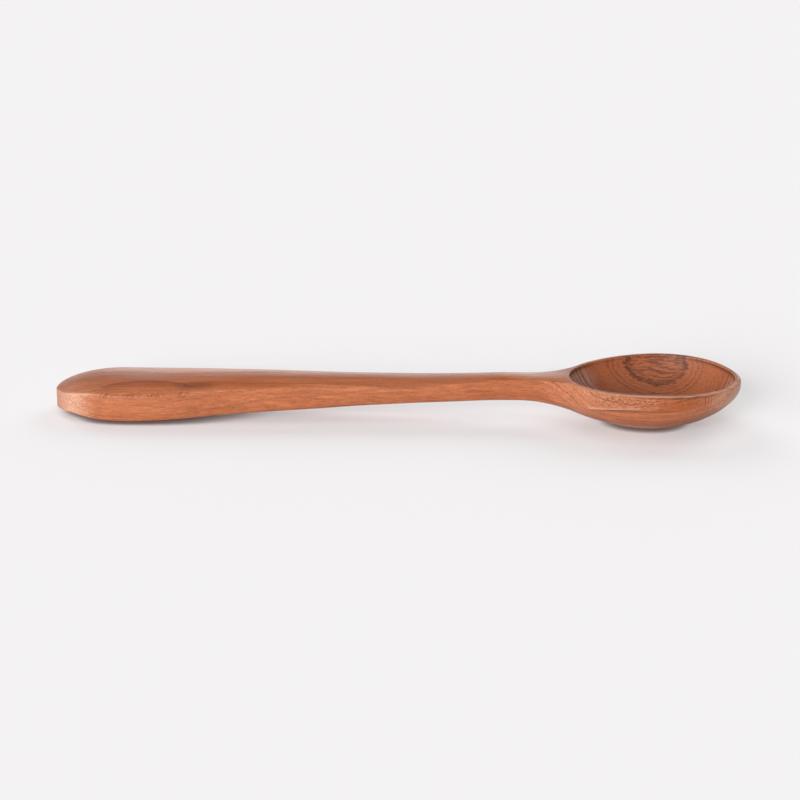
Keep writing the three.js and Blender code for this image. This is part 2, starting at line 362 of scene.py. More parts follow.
def hollow_height(plan):
    """Height of the gouged hollow: an ellipsoid, longer towards the heel than towards the tip."""
    half_height = RIM_HEIGHT - FLOOR_THICKNESS + HOLLOW_FLARE
    widening = 1 / math.sqrt(1 - (HOLLOW_FLARE / half_height) ** 2)
    along = plan[..., 0] - WIDEST_X
    far = np.clip(0.5 + plan[..., 1] / (2 * RIM_BLEND), 0, 1)
    tip_rim = mix(RIM_AT_TIP, RIM_AT_FAR_TIP, smooth(far))
    reach = np.where(along < 0, BOWL_HEEL - RIM_AT_HEEL, BOWL_TOE - tip_rim) * widening
    rim = np.where(plan[..., 1] > 0, RIM_AT_FAR_SIDE, RIM_AT_SIDES)
    side_reach = (BOWL_WIDTH / 2 - rim) * widening
    inside = 1 - (along / reach) ** 2 - (plan[..., 1] / side_reach) ** 2
    return RIM_HEIGHT + HOLLOW_FLARE - half_height * np.sqrt(np.maximum(0, inside))


def raised(plan, height):
    """Places seen from above, lifted to a height that depends on the place."""
    return np.concatenate([plan, height(plan)[..., None]], axis=-1)


def rim_line():
    """The inner edge of the rim seen from above, where the hollow meets the upper face."""
    angle = np.linspace(-math.pi, math.pi, RIM_STEPS, endpoint=False)
    ray = np.column_stack([np.cos(angle), np.sin(angle)])
    centre = np.array([WIDEST_X, 0])
    inner = np.zeros(len(angle))
    outer = np.full(len(angle), float(BOWL_HEEL))
    for _ in range(RIM_HALVINGS):
        middle = (inner + outer) / 2
        place = centre + ray * middle[:, None]
        cut = hollow_height(place) < bowl_top(place)
        inner = np.where(cut, middle, inner)
        outer = np.where(cut, outer, middle)
    return centre + ray * inner[:, None]


class Skin:
    """Gathers patches of a closed surface and welds them."""

    def __init__(self):
        self.mesh = bmesh.new()

    def patch(self, rows, closed=False):
        """Quads over rows of points that run side by side. A closed patch joins its last column to its
        first."""
        rows = np.asarray(rows)
        if closed:
            rows = np.concatenate([rows, rows[:, :1]], axis=1)
        verts = [[self.mesh.verts.new(point * MM) for point in row] for row in rows]
        for row, after in zip(verts, verts[1:]):
            for a, b, c, d in zip(row, row[1:], after[1:], after):
                self.mesh.faces.new((a, b, c, d))

    def finish(self, name):
        bmesh.ops.remove_doubles(self.mesh, verts=self.mesh.verts, dist=WELD)
        bmesh.ops.dissolve_degenerate(self.mesh, dist=SLIVER, edges=self.mesh.edges)
        bmesh.ops.recalc_face_normals(self.mesh, faces=self.mesh.faces)
        for face in self.mesh.faces:
            face.smooth = True
        data = bpy.data.meshes.new(name)
        self.mesh.to_mesh(data)
        self.mesh.free()
        return data


# Row of small slanting nicks along the near upper edge of the swell, as a dragged tool leaves them
NICK_COUNT = 27
NICKS_FROM = -84.8
NICKS_TO = -58
NICK_SCATTER = 0.2
NICK_SCATTER_TURN = 2.4  # turn of a sine from one nick to the next
NICK_HALF_WIDTH = 0.3
NICK_DEPTH = (0.06, 0.22)
NICK_DEPTH_TURN = 0.9
NICK_LEAN = 0.9
NICK_DROP = 0.45
NICK_REACH = 0.8
CUT_WAY = np.array([0, 0.3, -0.1])  # a cut moves the wood inwards and down

# Scores across the near side of the band, beside the toe: place and half width of each
TOOL_MARKS = [(89.1, 0.22), (90.05, 0.22), (90.9, 0.18)]
MARK_DEPTH = 0.1
MARK_FADE = 0.4  # towards the upper and the lower edge of the band
MARK_REACH = 0.5  # in from the outline

# Unevenness of the hand-worked faces
UNEVENNESS = 0.06
UNEVEN_LENGTH = np.array([14, 5, 5])
UNEVEN_FADE = 2  # height over which it fades to nothing at the table
UNEVEN_SEED = 1

# Painted shade and painted highlights along the edges: places, and how much of each is there. Along is by x,
# down is from the upper edge or the ledge, and across is from the outline or the inner edge of the rim.
TOE_ALONG = ([80, 90], [0, 1])
WALL_SHADE_ALONG = ([52, 58, 82, 88], [1, 0.3, 0.3, 1])
WALL_SHADE_DOWN = ([0.04, 0.15, 0.75, 1.2], [0, 1, 0.8, 0])
NEAR_RIM_SHADE_ALONG = ([55, 64, 80, 90], [0, 1, 1, 0])
NEAR_RIM_SHADE_ACROSS = ([0.7, 1.2, 1.9], [0, 0.7, 1])
FAR_RIM_SHADE_ACROSS = ([0, 0.4, 0.8], [1, 0.8, 0])
BAND_SHADE_ALONG = ([64, 70, 90, 94], [0, 1, 1, 0])
BAND_SHADE_DOWN = ([0.05, 0.2, 0.5, 0.9], [0, 0.7, 0.5, 0])
LEDGE_SHADE_ALONG = ([55, 58, 76, 86], [0, 0.5, 0.5, 0])
LEDGE_SHADE_DOWN = ([0, 0.15, 0.5, 1.3], [0, 1, 0.7, 0])
NEAR_RIM_HIGHLIGHT_ACROSS = ([0, 0.5, 0.9], [0.6, 0.5, 0])
FAR_RIM_HIGHLIGHT_ACROSS = ([0.8, 1.8], [0, 0.7])
LEDGE_HIGHLIGHT_ALONG = ([55, 58, 68, 76], [0, 1, 1, 0])
LEDGE_HIGHLIGHT = 0.7
LEDGE_HIGHLIGHT_REACH = 0.35
BUTT_HIGHLIGHT_ALONG = ([-97, -95, -90, -86], [0, 1, 1, 0])
BUTT_HIGHLIGHT_REACH = 0.4
MESH_SLACK = 0.01  # how far a point may lie from a face that it belongs to
RIM_CORNER = 0.5  # height of the rounded inner edge of the rim
BAND_SLACK = 0.3  # how far in from the outline the band still counts
LEDGE_SLACK = 2


def painted_edge_light(points):
    """How strongly painted highlights lighten and painted shade darkens the wood along the edges of the bowl
    and the butt, and where the hollow is."""
    x, y, z = points.T
    top = bowl_top(points[:, :2])
    hollow = hollow_height(points[:, :2])
    near = y < 0
    in_bowl = x > HEEL_X
    in_hollow = in_bowl & (abs(z - hollow) < MESH_SLACK) & (z < top + MESH_SLACK)
    between = (z < top - MESH_SLACK) & (z > hollow - MESH_SLACK)
    in_corner = in_bowl & between & (abs(hollow - top) < RIM_CORNER)
    on_land = in_bowl & (abs(z - top) < MESH_SLACK) & (hollow > top)
    side_gap = abs(abs(y) - outline_reach(x))
    below_edge = edge_height(x, 0) - z
    below_ledge = lower_height(x) - z
    toe = np.interp(x, *TOE_ALONG)

    # Painted shade: dark lines just inside the far rim, at the inner edge of the near rim, beneath the band's
    # upper edge and under the ledge
    wall_shade = np.interp(x, *WALL_SHADE_ALONG) * np.interp(top - z, *WALL_SHADE_DOWN)
    near_rim_shade = np.interp(x, *NEAR_RIM_SHADE_ALONG) * np.interp(side_gap, *NEAR_RIM_SHADE_ACROSS)
    far_rim_shade = toe * np.interp(hollow - top, *FAR_RIM_SHADE_ACROSS)
    band_shade = np.interp(x, *BAND_SHADE_ALONG) * np.interp(below_edge, *BAND_SHADE_DOWN)
    ledge_shade = np.interp(x, *LEDGE_SHADE_ALONG) * np.interp(below_ledge, *LEDGE_SHADE_DOWN)
    painted_shade = np.maximum.reduce([
        np.where((in_hollow | in_corner) & ~near, wall_shade, 0),
        np.where(on_land & near, near_rim_shade, 0),
        np.where(on_land & ~near, far_rim_shade, 0),
        np.where(near & (side_gap < BAND_SLACK), band_shade, 0),
        np.where(near & (side_gap < LEDGE_SLACK), ledge_shade, 0)])

    # Painted highlights and sheen: pale lines on the lands of the rim, on the ledge and on the ridge of the
    # butt
    off_ledge = np.hypot(side_gap, below_ledge) / LEDGE_HIGHLIGHT_REACH
    off_ridge = np.hypot(side_gap, below_edge) / BUTT_HIGHLIGHT_REACH
    ledge_highlight = LEDGE_HIGHLIGHT * np.interp(x, *LEDGE_HIGHLIGHT_ALONG) * np.exp(-off_ledge ** 2)
    painted_highlight = np.maximum.reduce([
        np.where(on_land & near, np.interp(side_gap, *NEAR_RIM_HIGHLIGHT_ACROSS), 0),
        np.where(on_land & ~near, toe * np.interp(hollow - top, *FAR_RIM_HIGHLIGHT_ACROSS), 0),
        np.where(near, ledge_highlight, 0),
        np.interp(x, *BUTT_HIGHLIGHT_ALONG) * np.exp(-off_ridge ** 2)])
    return painted_highlight, painted_shade, in_hollow.astype(float)


def weather(data):
    """Makes the faces slightly uneven, nicks the near edge and scores the band; marks these for the wood."""
    points = np.empty(3 * len(data.vertices))
    data.vertices.foreach_get("co", points)
    points = points.reshape(-1, 3) / MM
    painted_highlight, painted_shade, hollow = painted_edge_light(points)
    noise.seed_set(UNEVEN_SEED)
    swing = np.array([noise.noise_vector(place) for place in points / UNEVEN_LENGTH])
    bedded = np.clip(points[:, 2:] / UNEVEN_FADE, 0, 1)
    points = points + UNEVENNESS * swing * bedded

    x, y, z = points.T
    ridge_y = -outline_reach(x)
    above_ridge = z - edge_height(x, 0)
    off_nicks = np.hypot(y - ridge_y, above_ridge + NICK_DROP)
    cut = np.zeros(len(points))
    for k in range(NICK_COUNT):
        way = (k + NICK_SCATTER * math.sin(NICK_SCATTER_TURN * k)) / (NICK_COUNT - 1)
        off = abs(x - mix(NICKS_FROM, NICKS_TO, way) - NICK_LEAN * above_ridge)
        depth = mix(*NICK_DEPTH, 0.5 + 0.5 * math.sin(NICK_DEPTH_TURN * k))
        along = np.clip(1 - off / NICK_HALF_WIDTH, 0, 1)
        cut = np.maximum(cut, depth * along * np.exp(-(off_nicks / NICK_REACH) ** 2))
    above_ledge = np.clip((z - lower_height(x)) / MARK_FADE, 0, 1)
    below_ridge = np.clip(-above_ridge / MARK_FADE, 0, 1)
    in_band = above_ledge * below_ridge * (y < ridge_y + MARK_REACH)
    for place, half in TOOL_MARKS:
        cut = np.maximum(cut, MARK_DEPTH * np.clip(1 - abs(x - place) / half, 0, 1) * in_band)
    points = points + cut[:, None] * CUT_WAY
    data.vertices.foreach_set("co", (points * MM).ravel())
    # The painted shade and the painted highlights go to the wood as attributes, beside the cuts and the
    # hollow
    for name, values in (("cut", cut), ("painted_shade", painted_shade), ("painted_highlight", painted_highlight), ("hollow", hollow)):
        data.attributes.new(name, "FLOAT", "POINT").data.foreach_set("value", values)
    data.update()
    return data


def carved_mesh():
    """The whole surface: ribs over the handle, rays over the rim, rings in the hollow, and the sides and
    underside all round."""
    handle_side = spaced(OUTLINE[OUTLINE[:, 0] < JOIN_X])
    join = np.array([[JOIN_X, outline_reach(JOIN_X)]])
    handle_side = np.vstack([handle_side[:-1], join])
    bowl_side = spaced(np.vstack([join, OUTLINE[OUTLINE[:, 0] > JOIN_X]]))
    mirror = np.array([1, -1])
    handle_run = np.vstack([handle_side[::-1], handle_side[1:] * mirror])
    bowl_run = np.vstack([bowl_side * mirror, bowl_side[-2::-1]])
    loop = np.vstack([handle_run[:-1], bowl_run[:-1]])
    handle_count = len(handle_run)
    far = farness(*loop.T)
    excess = np.maximum(0, loop @ BUTT_FACET_FACING - BUTT_FACET_OFFSET)
    loop = loop - BUTT_FACET_FLATNESS * excess[:, None] * BUTT_FACET_FACING

    x = loop[:, 0]
    edge_in = mix(near_edge_in(x), far_edge_round(x), far)
    edge_down = mix(near_edge_down(x), far_edge_round(x), far)
    edge_line = edge_height(x, far)
    spine_x = np.clip(x, SWELL_X, BOTTOM_X)
    reach = np.hypot(x - spine_x, loop[:, 1])

    def at(share, z):
        share = np.broadcast_to(share, x.shape)
        return np.column_stack([mix(spine_x, x, share), loop[:, 1] * share, z])

    def top_at(share):
        return at(share, top_height(spine_x, x, share, far))

    def under_at(share):
        height = mix(keel(spine_x), lower_height(x), dome_rise(share))
        return at(share * (1 - ledge(x) / reach), np.maximum(height, 0))

    top_share = 1 - np.minimum(edge_in, CORNER_LIMIT * reach) / reach
    under_share = 1 - np.minimum(lower_round(x), CORNER_LIMIT * reach) / reach
    band_top = at(1, edge_line - edge_down)
    band_foot = at(1, lower_height(x) + lower_round(x))
    top_corner = bezier([top_at(top_share), at(1, edge_line), band_top], CORNER_ROWS)
    low_corner = bezier([band_foot, at(1, lower_height(x)), under_at(under_share)], CORNER_ROWS)
    band = bezier([band_top, band_foot], BAND_ROWS)
    under_angle = np.arcsin(under_share / (1 + DOME_OVERHANG))
    under = [under_at((1 + DOME_OVERHANG) * np.sin(under_angle * k / UNDER_ROWS))
             for k in range(UNDER_ROWS, -1, -1)]
    top = [top_at(top_share * k / TOP_ROWS) for k in range(TOP_ROWS + 1)]

    # The rim's outer side: once round the bowl, and across the neck where the ribs of the handle end
    far_neck = [row[0] for row in top[::-1]]
    near_neck = [row[handle_count - 1] for row in top]
    outer = np.vstack([top[-1][handle_count - 1:], far_neck, near_neck[1:-1]])[:, :2]
    rim = rim_line()
    nearest = np.argmin(np.linalg.norm(outer[:, None] - rim[None], axis=2), axis=1)
    inner = rim[nearest]
    outward = outer - inner
    outward /= np.linalg.norm(outward, axis=1)[:, None]
    land_end = inner + RIM_ROUND * outward
    wall_start = inner - RIM_ROUND * outward
    land_plan = np.array([mix(outer, land_end, k / LAND_ROWS) for k in range(LAND_ROWS + 1)])
    land = raised(land_plan, bowl_top)
    wall = raised(wall_start, hollow_height)
    rim_corner = bezier([land[-1], raised(inner, bowl_top), wall], CORNER_ROWS)
    centre = np.array([BOTTOM_X, 0])
    shares = [(k / HOLLOW_ROWS) ** HOLLOW_CROWDING for k in range(HOLLOW_ROWS + 1)]
    hollow = raised(np.array([mix(wall_start, centre, share) for share in shares]), hollow_height)

    skin = Skin()
    skin.patch([row[:handle_count] for row in top])
    for rows in (top_corner, band, low_corner, under, land, rim_corner, hollow):
        skin.patch(rows, closed=True)
    return skin.finish("carved_spoon")


# Growth layers of the wood lie round a pith that runs beside the spoon, above its near side
PITH_AT_BOWL = (-24.8, 30.8)  # across and up, at the widest place of the bowl
PITH_DRIFT = 0.028  # sideways, along the whole length
PITH_DRIFT_IN_TOE = 0.065  # more of it past the widest place
PITH_CLIMB = 0.143  # from the throat on
PITH_CLIMB_IN_HANDLE = 0.05
CLIMB_CHANGE = 40  # before the widest place
LAYER = 0.95  # usual thickness of a growth layer
LAYER_PROFILE = [(0, 0), (0.55, 0.12), (0.84, 1), (0.93, 0.85), (1, 0)]
LAYER_SHIFT = 2.5  # layers by which their count wanders
LAYER_SHIFT_FINENESS = 0.35
LAYER_STRENGTH = (0.25, 0.75)  # weakest and strongest
LAYER_STRENGTH_IN_HANDLE = 0.3
LAYER_WAVES = [  # fineness along and across the grain, and size
    ((0.012, 0.04, 0.04), 1.0), ((0.05, 0.22, 0.22), 1.0), ((0.25, 0.9, 0.9), 0.5), ((0.8, 2.4, 2.4), 0.4)]
VEINS = [  # distance from the pith, half width and darkness of the strongest layers
    (37, 0.2, 0.9), (35.3, 0.3, 0.55), (34, 0.4, 0.75), (32.4, 0.35, 0.75), (30.9, 0.3, 0.6),
    (24.6, 0.25, 0.2), (22.3, 0.2, 0.15), (19.35, 0.22, 0.8)]
HEART = (21, 33)  # wood grows browner between these distances, and darker between the next
DEEP_HEART = (33, 40)
PITHWARD = (20.3, 21.8, 1.0, 0.0)  # wood nearer to the pith than this is open and speckled
ISLAND = 43.4  # layers past this are cut nearly flat in the bowl's far wall, and show as a marked patch
ISLAND_EDGE = 0.25
JAG_SIZE = 1.6  # of the patch's border
PALE_LAYER = 36.4  # pale in the hollow beside the neck

# Arc that a vein draws on the upper face of the swell
ARC_TOP = (-72, -3.3)  # along and across
ARC_BEND = 0.0215
ARC_WANDER = 0.8

# Noise in the wood: fineness along and across the grain, then detail and roughness where they aren't usual
BROKEN_NOISE = ((0.07, 0.3, 0.3),)
ARC_NOISE = ((0.12, 0.2, 0.2),)
JAG_NOISE = ((0.4, 1.8, 1.8), 3.0, 0.6)
FLAME_NOISE = ((0.24, 1.7, 1.7), 3.0, 0.65)
TORN_NOISE = ((0.25, 0.9, 0.9),)
STREAK_NOISE = ((0.02, 0.7, 0.7), 3.0, 0.6)
FIBRE_NOISE = ((0.07, 2.6, 2.6), 4.0, 0.7)
GRAIN_NOISE = ((0.16, 3.4, 3.4), 3.0, 0.7)
SPECK_NOISE = ((1.4, 4.5, 4.5), 1.0, 0.5)
FLECK_NOISE = ((0.9, 2.6, 2.6), 3.0, 0.6)
OPEN_NOISE = ((0.02, 0.25, 0.25),)
PORE_CELLS = (0.15, 2.6, 2.6)

# Where each of these comes and goes: the two ends of its range, then its value at each end where that isn't
# 0 and 1
BROKEN_RANGE = (0.3, 0.55, 0.25, 1.0)
ARC_RISE = (-0.3, 0.25)
ARC_LINE = (0.1, 0.9, 0.75, 0.0)
ARC_FADE = (0.0, 5.6, 0.4, 0.0)
ARC_ENDS = (10.2, 17, 1.0, 0.0)
FLAME_RANGE = (0.49, 0.56, 0.0, 0.75)
TORN_RANGE = (0.35, 0.55, 0.35, 1.0)
BORDER_RANGE = (0.05, 0.35, 1.0, 0.0)
STREAK_RANGE = (0.32, 0.68, -0.3, 0.35)
FLECK_RANGE = (0.47, 0.6)
FLECKS_ALONG = (70, 82, 1.0, 0.2)
OPEN_RANGE = (0.4, 0.6, 0.5, 1.0)
PORE_RANGE = (0.1, 0.4, 1.0, 0.0)
PALE_RANGE = (0.1, 0.8, 1.0, 0.0)
PALE_ALONG = (HEEL_X + 12, HEEL_X + 18, 0.2, 0.0)
PATCH_FADE = (0.25, 1.0)
CUT_RANGE = (0.02, 0.1, 0.0, 0.9)
FIBRE_LIGHTNESS = (0.3, 0.7, 0.88, 1.12)
GRAIN_LIGHTNESS = (0.3, 0.7, 0.9, 1.1)
SPECK_LIGHTNESS = (0.32, 0.68, 0.9, 1.1)

# End grain: near the tip and the butt, on faces that look along the spoon and not up
END_AT_TIP = (88, 96, 0.0, 0.5)
END_ABOVE = (7.5, 10, 0.15, 1.0)
END_AT_BUTT = (-92, -80, 1.0, 0.12)
END_BESIDE_BUTT = (-99.5, -94, 0.3, 1.0)
END_FACING = (0.1, 0.5)
END_UPWARD = (0.3, 0.7, 1.0, 0.3)

# Colours, and how strongly some of them cover what lies below
PALE_WOOD = (0.465, 0.152, 0.063)
BROWN_WOOD = (0.32, 0.09, 0.032)
HEART_WOOD = (0.33, 0.1, 0.04)
LATE_WOOD = (0.16, 0.043, 0.018)
VEIN_WOOD = (0.11, 0.032, 0.015)
PORE_WOOD = (0.16, 0.045, 0.02)
FLECK_WOOD = (0.62, 0.29, 0.165)
CUT_WOOD = (0.2, 0.038, 0.01)
END_WOOD = (0.64, 0.37, 0.26)
# Colours of the painted highlights and of the painted shade along the edges
PAINTED_HIGHLIGHT_COLOUR = (0.62, 0.36, 0.26)
PAINTED_SHADE_COLOUR = (0.1, 0.02, 0.005)
PORE_COVER = 0.6
FLECK_COVER = 0.5
END_COVER = 0.85
PAINTED_HIGHLIGHT_COVER = 0.8
PAINTED_SHADE_COVER = 0.9
PATCHES = [  # middle, reach, colour and strength of tinted places; some are painted sheen, light and shade, as marked
    ((-58, -6.2, 10.5), (9, 3, 4), (0.12, 0.03, 0.01), 0.7),  # dark end of the arc
    ((-46, -5.5, 11), (20, 3, 4), (0.36, 0.085, 0.024), 0.6),  # brown near side of the grip
    ((-72, -4.5, 10.5), (20, 5, 3), (0.42, 0.098, 0.028), 0.6),  # brown within the arc
    ((-48, 6, 11), (60, 7, 4), (0.62, 0.215, 0.09), 0.5),  # paler far side of the handle: painted sheen and light where the upper face turns away
    ((-72, -11, 9.3), (20, 1.8, 1.8), (0.33, 0.08, 0.026), 0.65),  # brown near edge of the swell
    ((82, -15, 12.5), (12, 6, 3.5), (0.3, 0.06, 0.006), 0.9),  # redder band towards the toe
    ((64, -15, 12), (12, 6, 4), (0.255, 0.067, 0.021), 0.75),  # brown band towards the heel
    ((55, 2, 11), (8, 10, 5), (0.42, 0.235, 0.18), 0.85),  # painted sheen on the heel of the hollow, pale and grey
    ((74, -17.8, 12), (11, 3, 3), (0.262, 0.062, 0.017), 0.6),  # brown middle of the band
    ((90, -9, 6), (14, 10, 4.5), (0.215, 0.061, 0.019), 0.7),  # painted shade on the dome towards the toe, on the side turned from the light
    ((97.5, -2, 11), (4.5, 10, 5), (0.45, 0.26, 0.19), 0.7),  # pale grey tip: end grain, with painted sheen
    ((70, -7, 1.2), (17, 9, 4.6), (0.64, 0.31, 0.19), 0.75),  # painted bounce light and reflection of the floor on the foot of the bowl
    ((42, 0.6, 14.2), (16, 5, 1.3), (0.56, 0.34, 0.26), 0.6)]  # painted sheen on the upper face of the neck

# Oiled finish
SHEEN = 0.25
ROUGHNESS = (0.31, 0.37)  # of the handle and the bowl
HOLLOW_ROUGHNESS = 0.14  # more of it in the hollow
FIBRE_ROUGHNESS = 0.1
LATE_DEPTH = 0.3  # of the dense ends of the layers, beside pores of depth 1
RELIEF = 0.06
RELIEF_STRENGTH = 0.35


class Graph:
    """Short forms for the nodes of one material: each adds a node and gives its output."""

    def __init__(self, tree):
        self.tree = tree

    def node(self, kind, inputs, **settings):
        made = self.tree.nodes.new(kind)
        for name, value in settings.items():
            setattr(made, name, value)
        for name, value in inputs.items():
            if isinstance(value, bpy.types.NodeSocket):
                self.tree.links.new(value, made.inputs[name])
            else:
                made.inputs[name].default_value = value
        return made

    def math(self, operation, *values):
        return self.node("ShaderNodeMath", dict(enumerate(values)), operation=operation).outputs[0]

    def product(self, value, *factors):
        for factor in factors:
            value = self.math("MULTIPLY", value, factor)
        return value

    def gap(self, a, b):
        return self.math("ABSOLUTE", self.math("SUBTRACT", a, b))

    def split(self, vector):
        return self.node("ShaderNodeSeparateXYZ", {0: vector}).outputs

    def scaled(self, vector, factors):
        return self.node("ShaderNodeVectorMath", {0: vector, 1: factors}, operation="MULTIPLY").outputs[0]

    def noise(self, vector, fineness, detail=2.0, roughness=0.5):
        return self.node("ShaderNodeTexNoise", {
            "Vector": self.scaled(vector, fineness), "Scale": 1.0, "Detail": detail,
            "Roughness": roughness}).outputs["Fac"]

    def swing(self, value, size):
        """A noise value turned into an offset of about half the size to either side."""
        return self.math("MULTIPLY", self.math("SUBTRACT", value, 0.5), size)

    def cells(self, vector, fineness):
        return self.node("ShaderNodeTexVoronoi", {
            "Vector": self.scaled(vector, fineness), "Scale": 1.0}).outputs["Distance"]

    def eased(self, value, low, high, new_low=0.0, new_high=1.0):
        return self.node("ShaderNodeMapRange", {
            "Value": value, "From Min": low, "From Max": high, "To Min": new_low, "To Max": new_high},
            interpolation_type="SMOOTHSTEP").outputs["Result"]

    def blend(self, share, a, b):
        made = self.node("ShaderNodeMix", {"Factor": share}, data_type="RGBA")
        for socket, value in zip((made.inputs[6], made.inputs[7]), (a, b)):
            if isinstance(value, bpy.types.NodeSocket):
                self.tree.links.new(value, socket)
            else:
                socket.default_value = (*value, 1)
        return made.outputs[2]


def layer_distance(graph, place):
    """Distance from the pith with small waves, so that each growth layer is a level of it."""
    x, y, z = graph.split(place)
    along = graph.math("SUBTRACT", x, WIDEST_X)
    pith_y = graph.math("MULTIPLY_ADD", along, PITH_DRIFT, PITH_AT_BOWL[0])
    pith_y = graph.math("MULTIPLY_ADD", graph.math("MAXIMUM", along, 0.0), PITH_DRIFT_IN_TOE, pith_y)
    in_bowl = graph.math("MAXIMUM", along, -CLIMB_CHANGE)
    in_handle = graph.math("MINIMUM", graph.math("ADD", along, CLIMB_CHANGE), 0.0)
    pith_z = graph.math("MULTIPLY_ADD", in_bowl, PITH_CLIMB, PITH_AT_BOWL[1])
    pith_z = graph.math("MULTIPLY_ADD", in_handle, PITH_CLIMB_IN_HANDLE, pith_z)
    across = graph.math("POWER", graph.math("SUBTRACT", y, pith_y), 2.0)
    up = graph.math("POWER", graph.math("SUBTRACT", z, pith_z), 2.0)
    distance = graph.math("SQRT", graph.math("ADD", across, up))
    for fineness, size in LAYER_WAVES:
        distance = graph.math("ADD", distance, graph.swing(graph.noise(place, fineness), size))
    return distance


def late_growth(graph, place, layers):
    """Darkness of the dense end of each growth layer; layers differ in thickness and in strength."""
    shift = graph.node(
        "ShaderNodeTexNoise", {"W": layers, "Scale": LAYER_SHIFT_FINENESS, "Detail": 1.0},
        noise_dimensions="1D").outputs["Fac"]
    count = graph.math("ADD", graph.math("DIVIDE", layers, LAYER), graph.swing(shift, LAYER_SHIFT))
    ramp = graph.node("ShaderNodeValToRGB", {"Fac": graph.math("FRACT", count)})
    stops = ramp.color_ramp.elements
    while len(stops) < len(LAYER_PROFILE):
        stops.new(0.5)
    for stop, (position, grey) in zip(stops, LAYER_PROFILE):
        stop.position = position
        stop.color = (grey, grey, grey, 1)
    random = graph.node(
        "ShaderNodeTexWhiteNoise", {"W": graph.math("FLOOR", count)}, noise_dimensions="1D")
    strength = graph.eased(random.outputs["Value"], 0.0, 1.0, *LAYER_STRENGTH)
    in_bowl = graph.eased(graph.split(place)["X"], NECK_X, HEEL_X, LAYER_STRENGTH_IN_HANDLE, 1.0)
    return graph.product(strength, in_bowl, ramp.outputs["Color"])


def flames(graph, place, layers):
    """Dark streaks of the patch where the layers are cut nearly flat, and its torn border."""
    jagged = graph.math("ADD", layers, graph.swing(graph.noise(place, *JAG_NOISE), JAG_SIZE))
    streaks = graph.eased(graph.noise(place, *FLAME_NOISE), *FLAME_RANGE)
    inside = graph.product(streaks, graph.eased(jagged, ISLAND, ISLAND + ISLAND_EDGE))
    torn = graph.eased(graph.noise(place, *TORN_NOISE), *TORN_RANGE)
    border = graph.product(graph.eased(graph.gap(jagged, ISLAND), *BORDER_RANGE), torn)
    return graph.math("MAXIMUM", inside, border)


def arc(graph, place):
    """The vein on the upper face of the swell: sharp on its far side, fading towards the near edge."""
    x, y, _ = graph.split(place)
    along = graph.math("SUBTRACT", x, ARC_TOP[0])
    bend = graph.math("MULTIPLY", graph.math("POWER", along, 2.0), ARC_BEND)
    wander = graph.swing(graph.noise(place, *ARC_NOISE), ARC_WANDER)
    inside = graph.math("ADD", graph.math("SUBTRACT", ARC_TOP[1], graph.math("ADD", y, bend)), wander)
    line = graph.math("MAXIMUM", graph.eased(inside, *ARC_LINE), graph.eased(inside, *ARC_FADE))
    ends = graph.eased(graph.math("ABSOLUTE", along), *ARC_ENDS)
    return graph.product(graph.eased(inside, *ARC_RISE), line, ends)


def veins(graph, place, layers):
    """Darkness of the strongest layers, broken here and there, of the marked patch and of the arc."""
    dark = 0.0
    for distance, half, darkness in VEINS:
        vein = graph.eased(graph.gap(layers, distance), 0.0, half, darkness, 0.0)
        dark = graph.math("MAXIMUM", dark, vein)
    dark = graph.product(dark, graph.eased(graph.noise(place, *BROKEN_NOISE), *BROKEN_RANGE))
    dark = graph.math("MAXIMUM", dark, flames(graph, place, layers))
    return graph.math("MAXIMUM", dark, arc(graph, place))


def patched(graph, place, tone):
    """The tone with the tinted places laid over it, among them painted sheen, light and shade."""
    for middle, reach, colour, strength in PATCHES:
        off = graph.node("ShaderNodeVectorMath", {0: place, 1: middle}, operation="SUBTRACT").outputs[0]
        share = graph.scaled(off, tuple(1 / length for length in reach))
        away = graph.node("ShaderNodeVectorMath", {0: share}, operation="LENGTH").outputs["Value"]
        tone = graph.blend(graph.eased(away, *PATCH_FADE, strength, 0.0), tone, colour)
    return tone


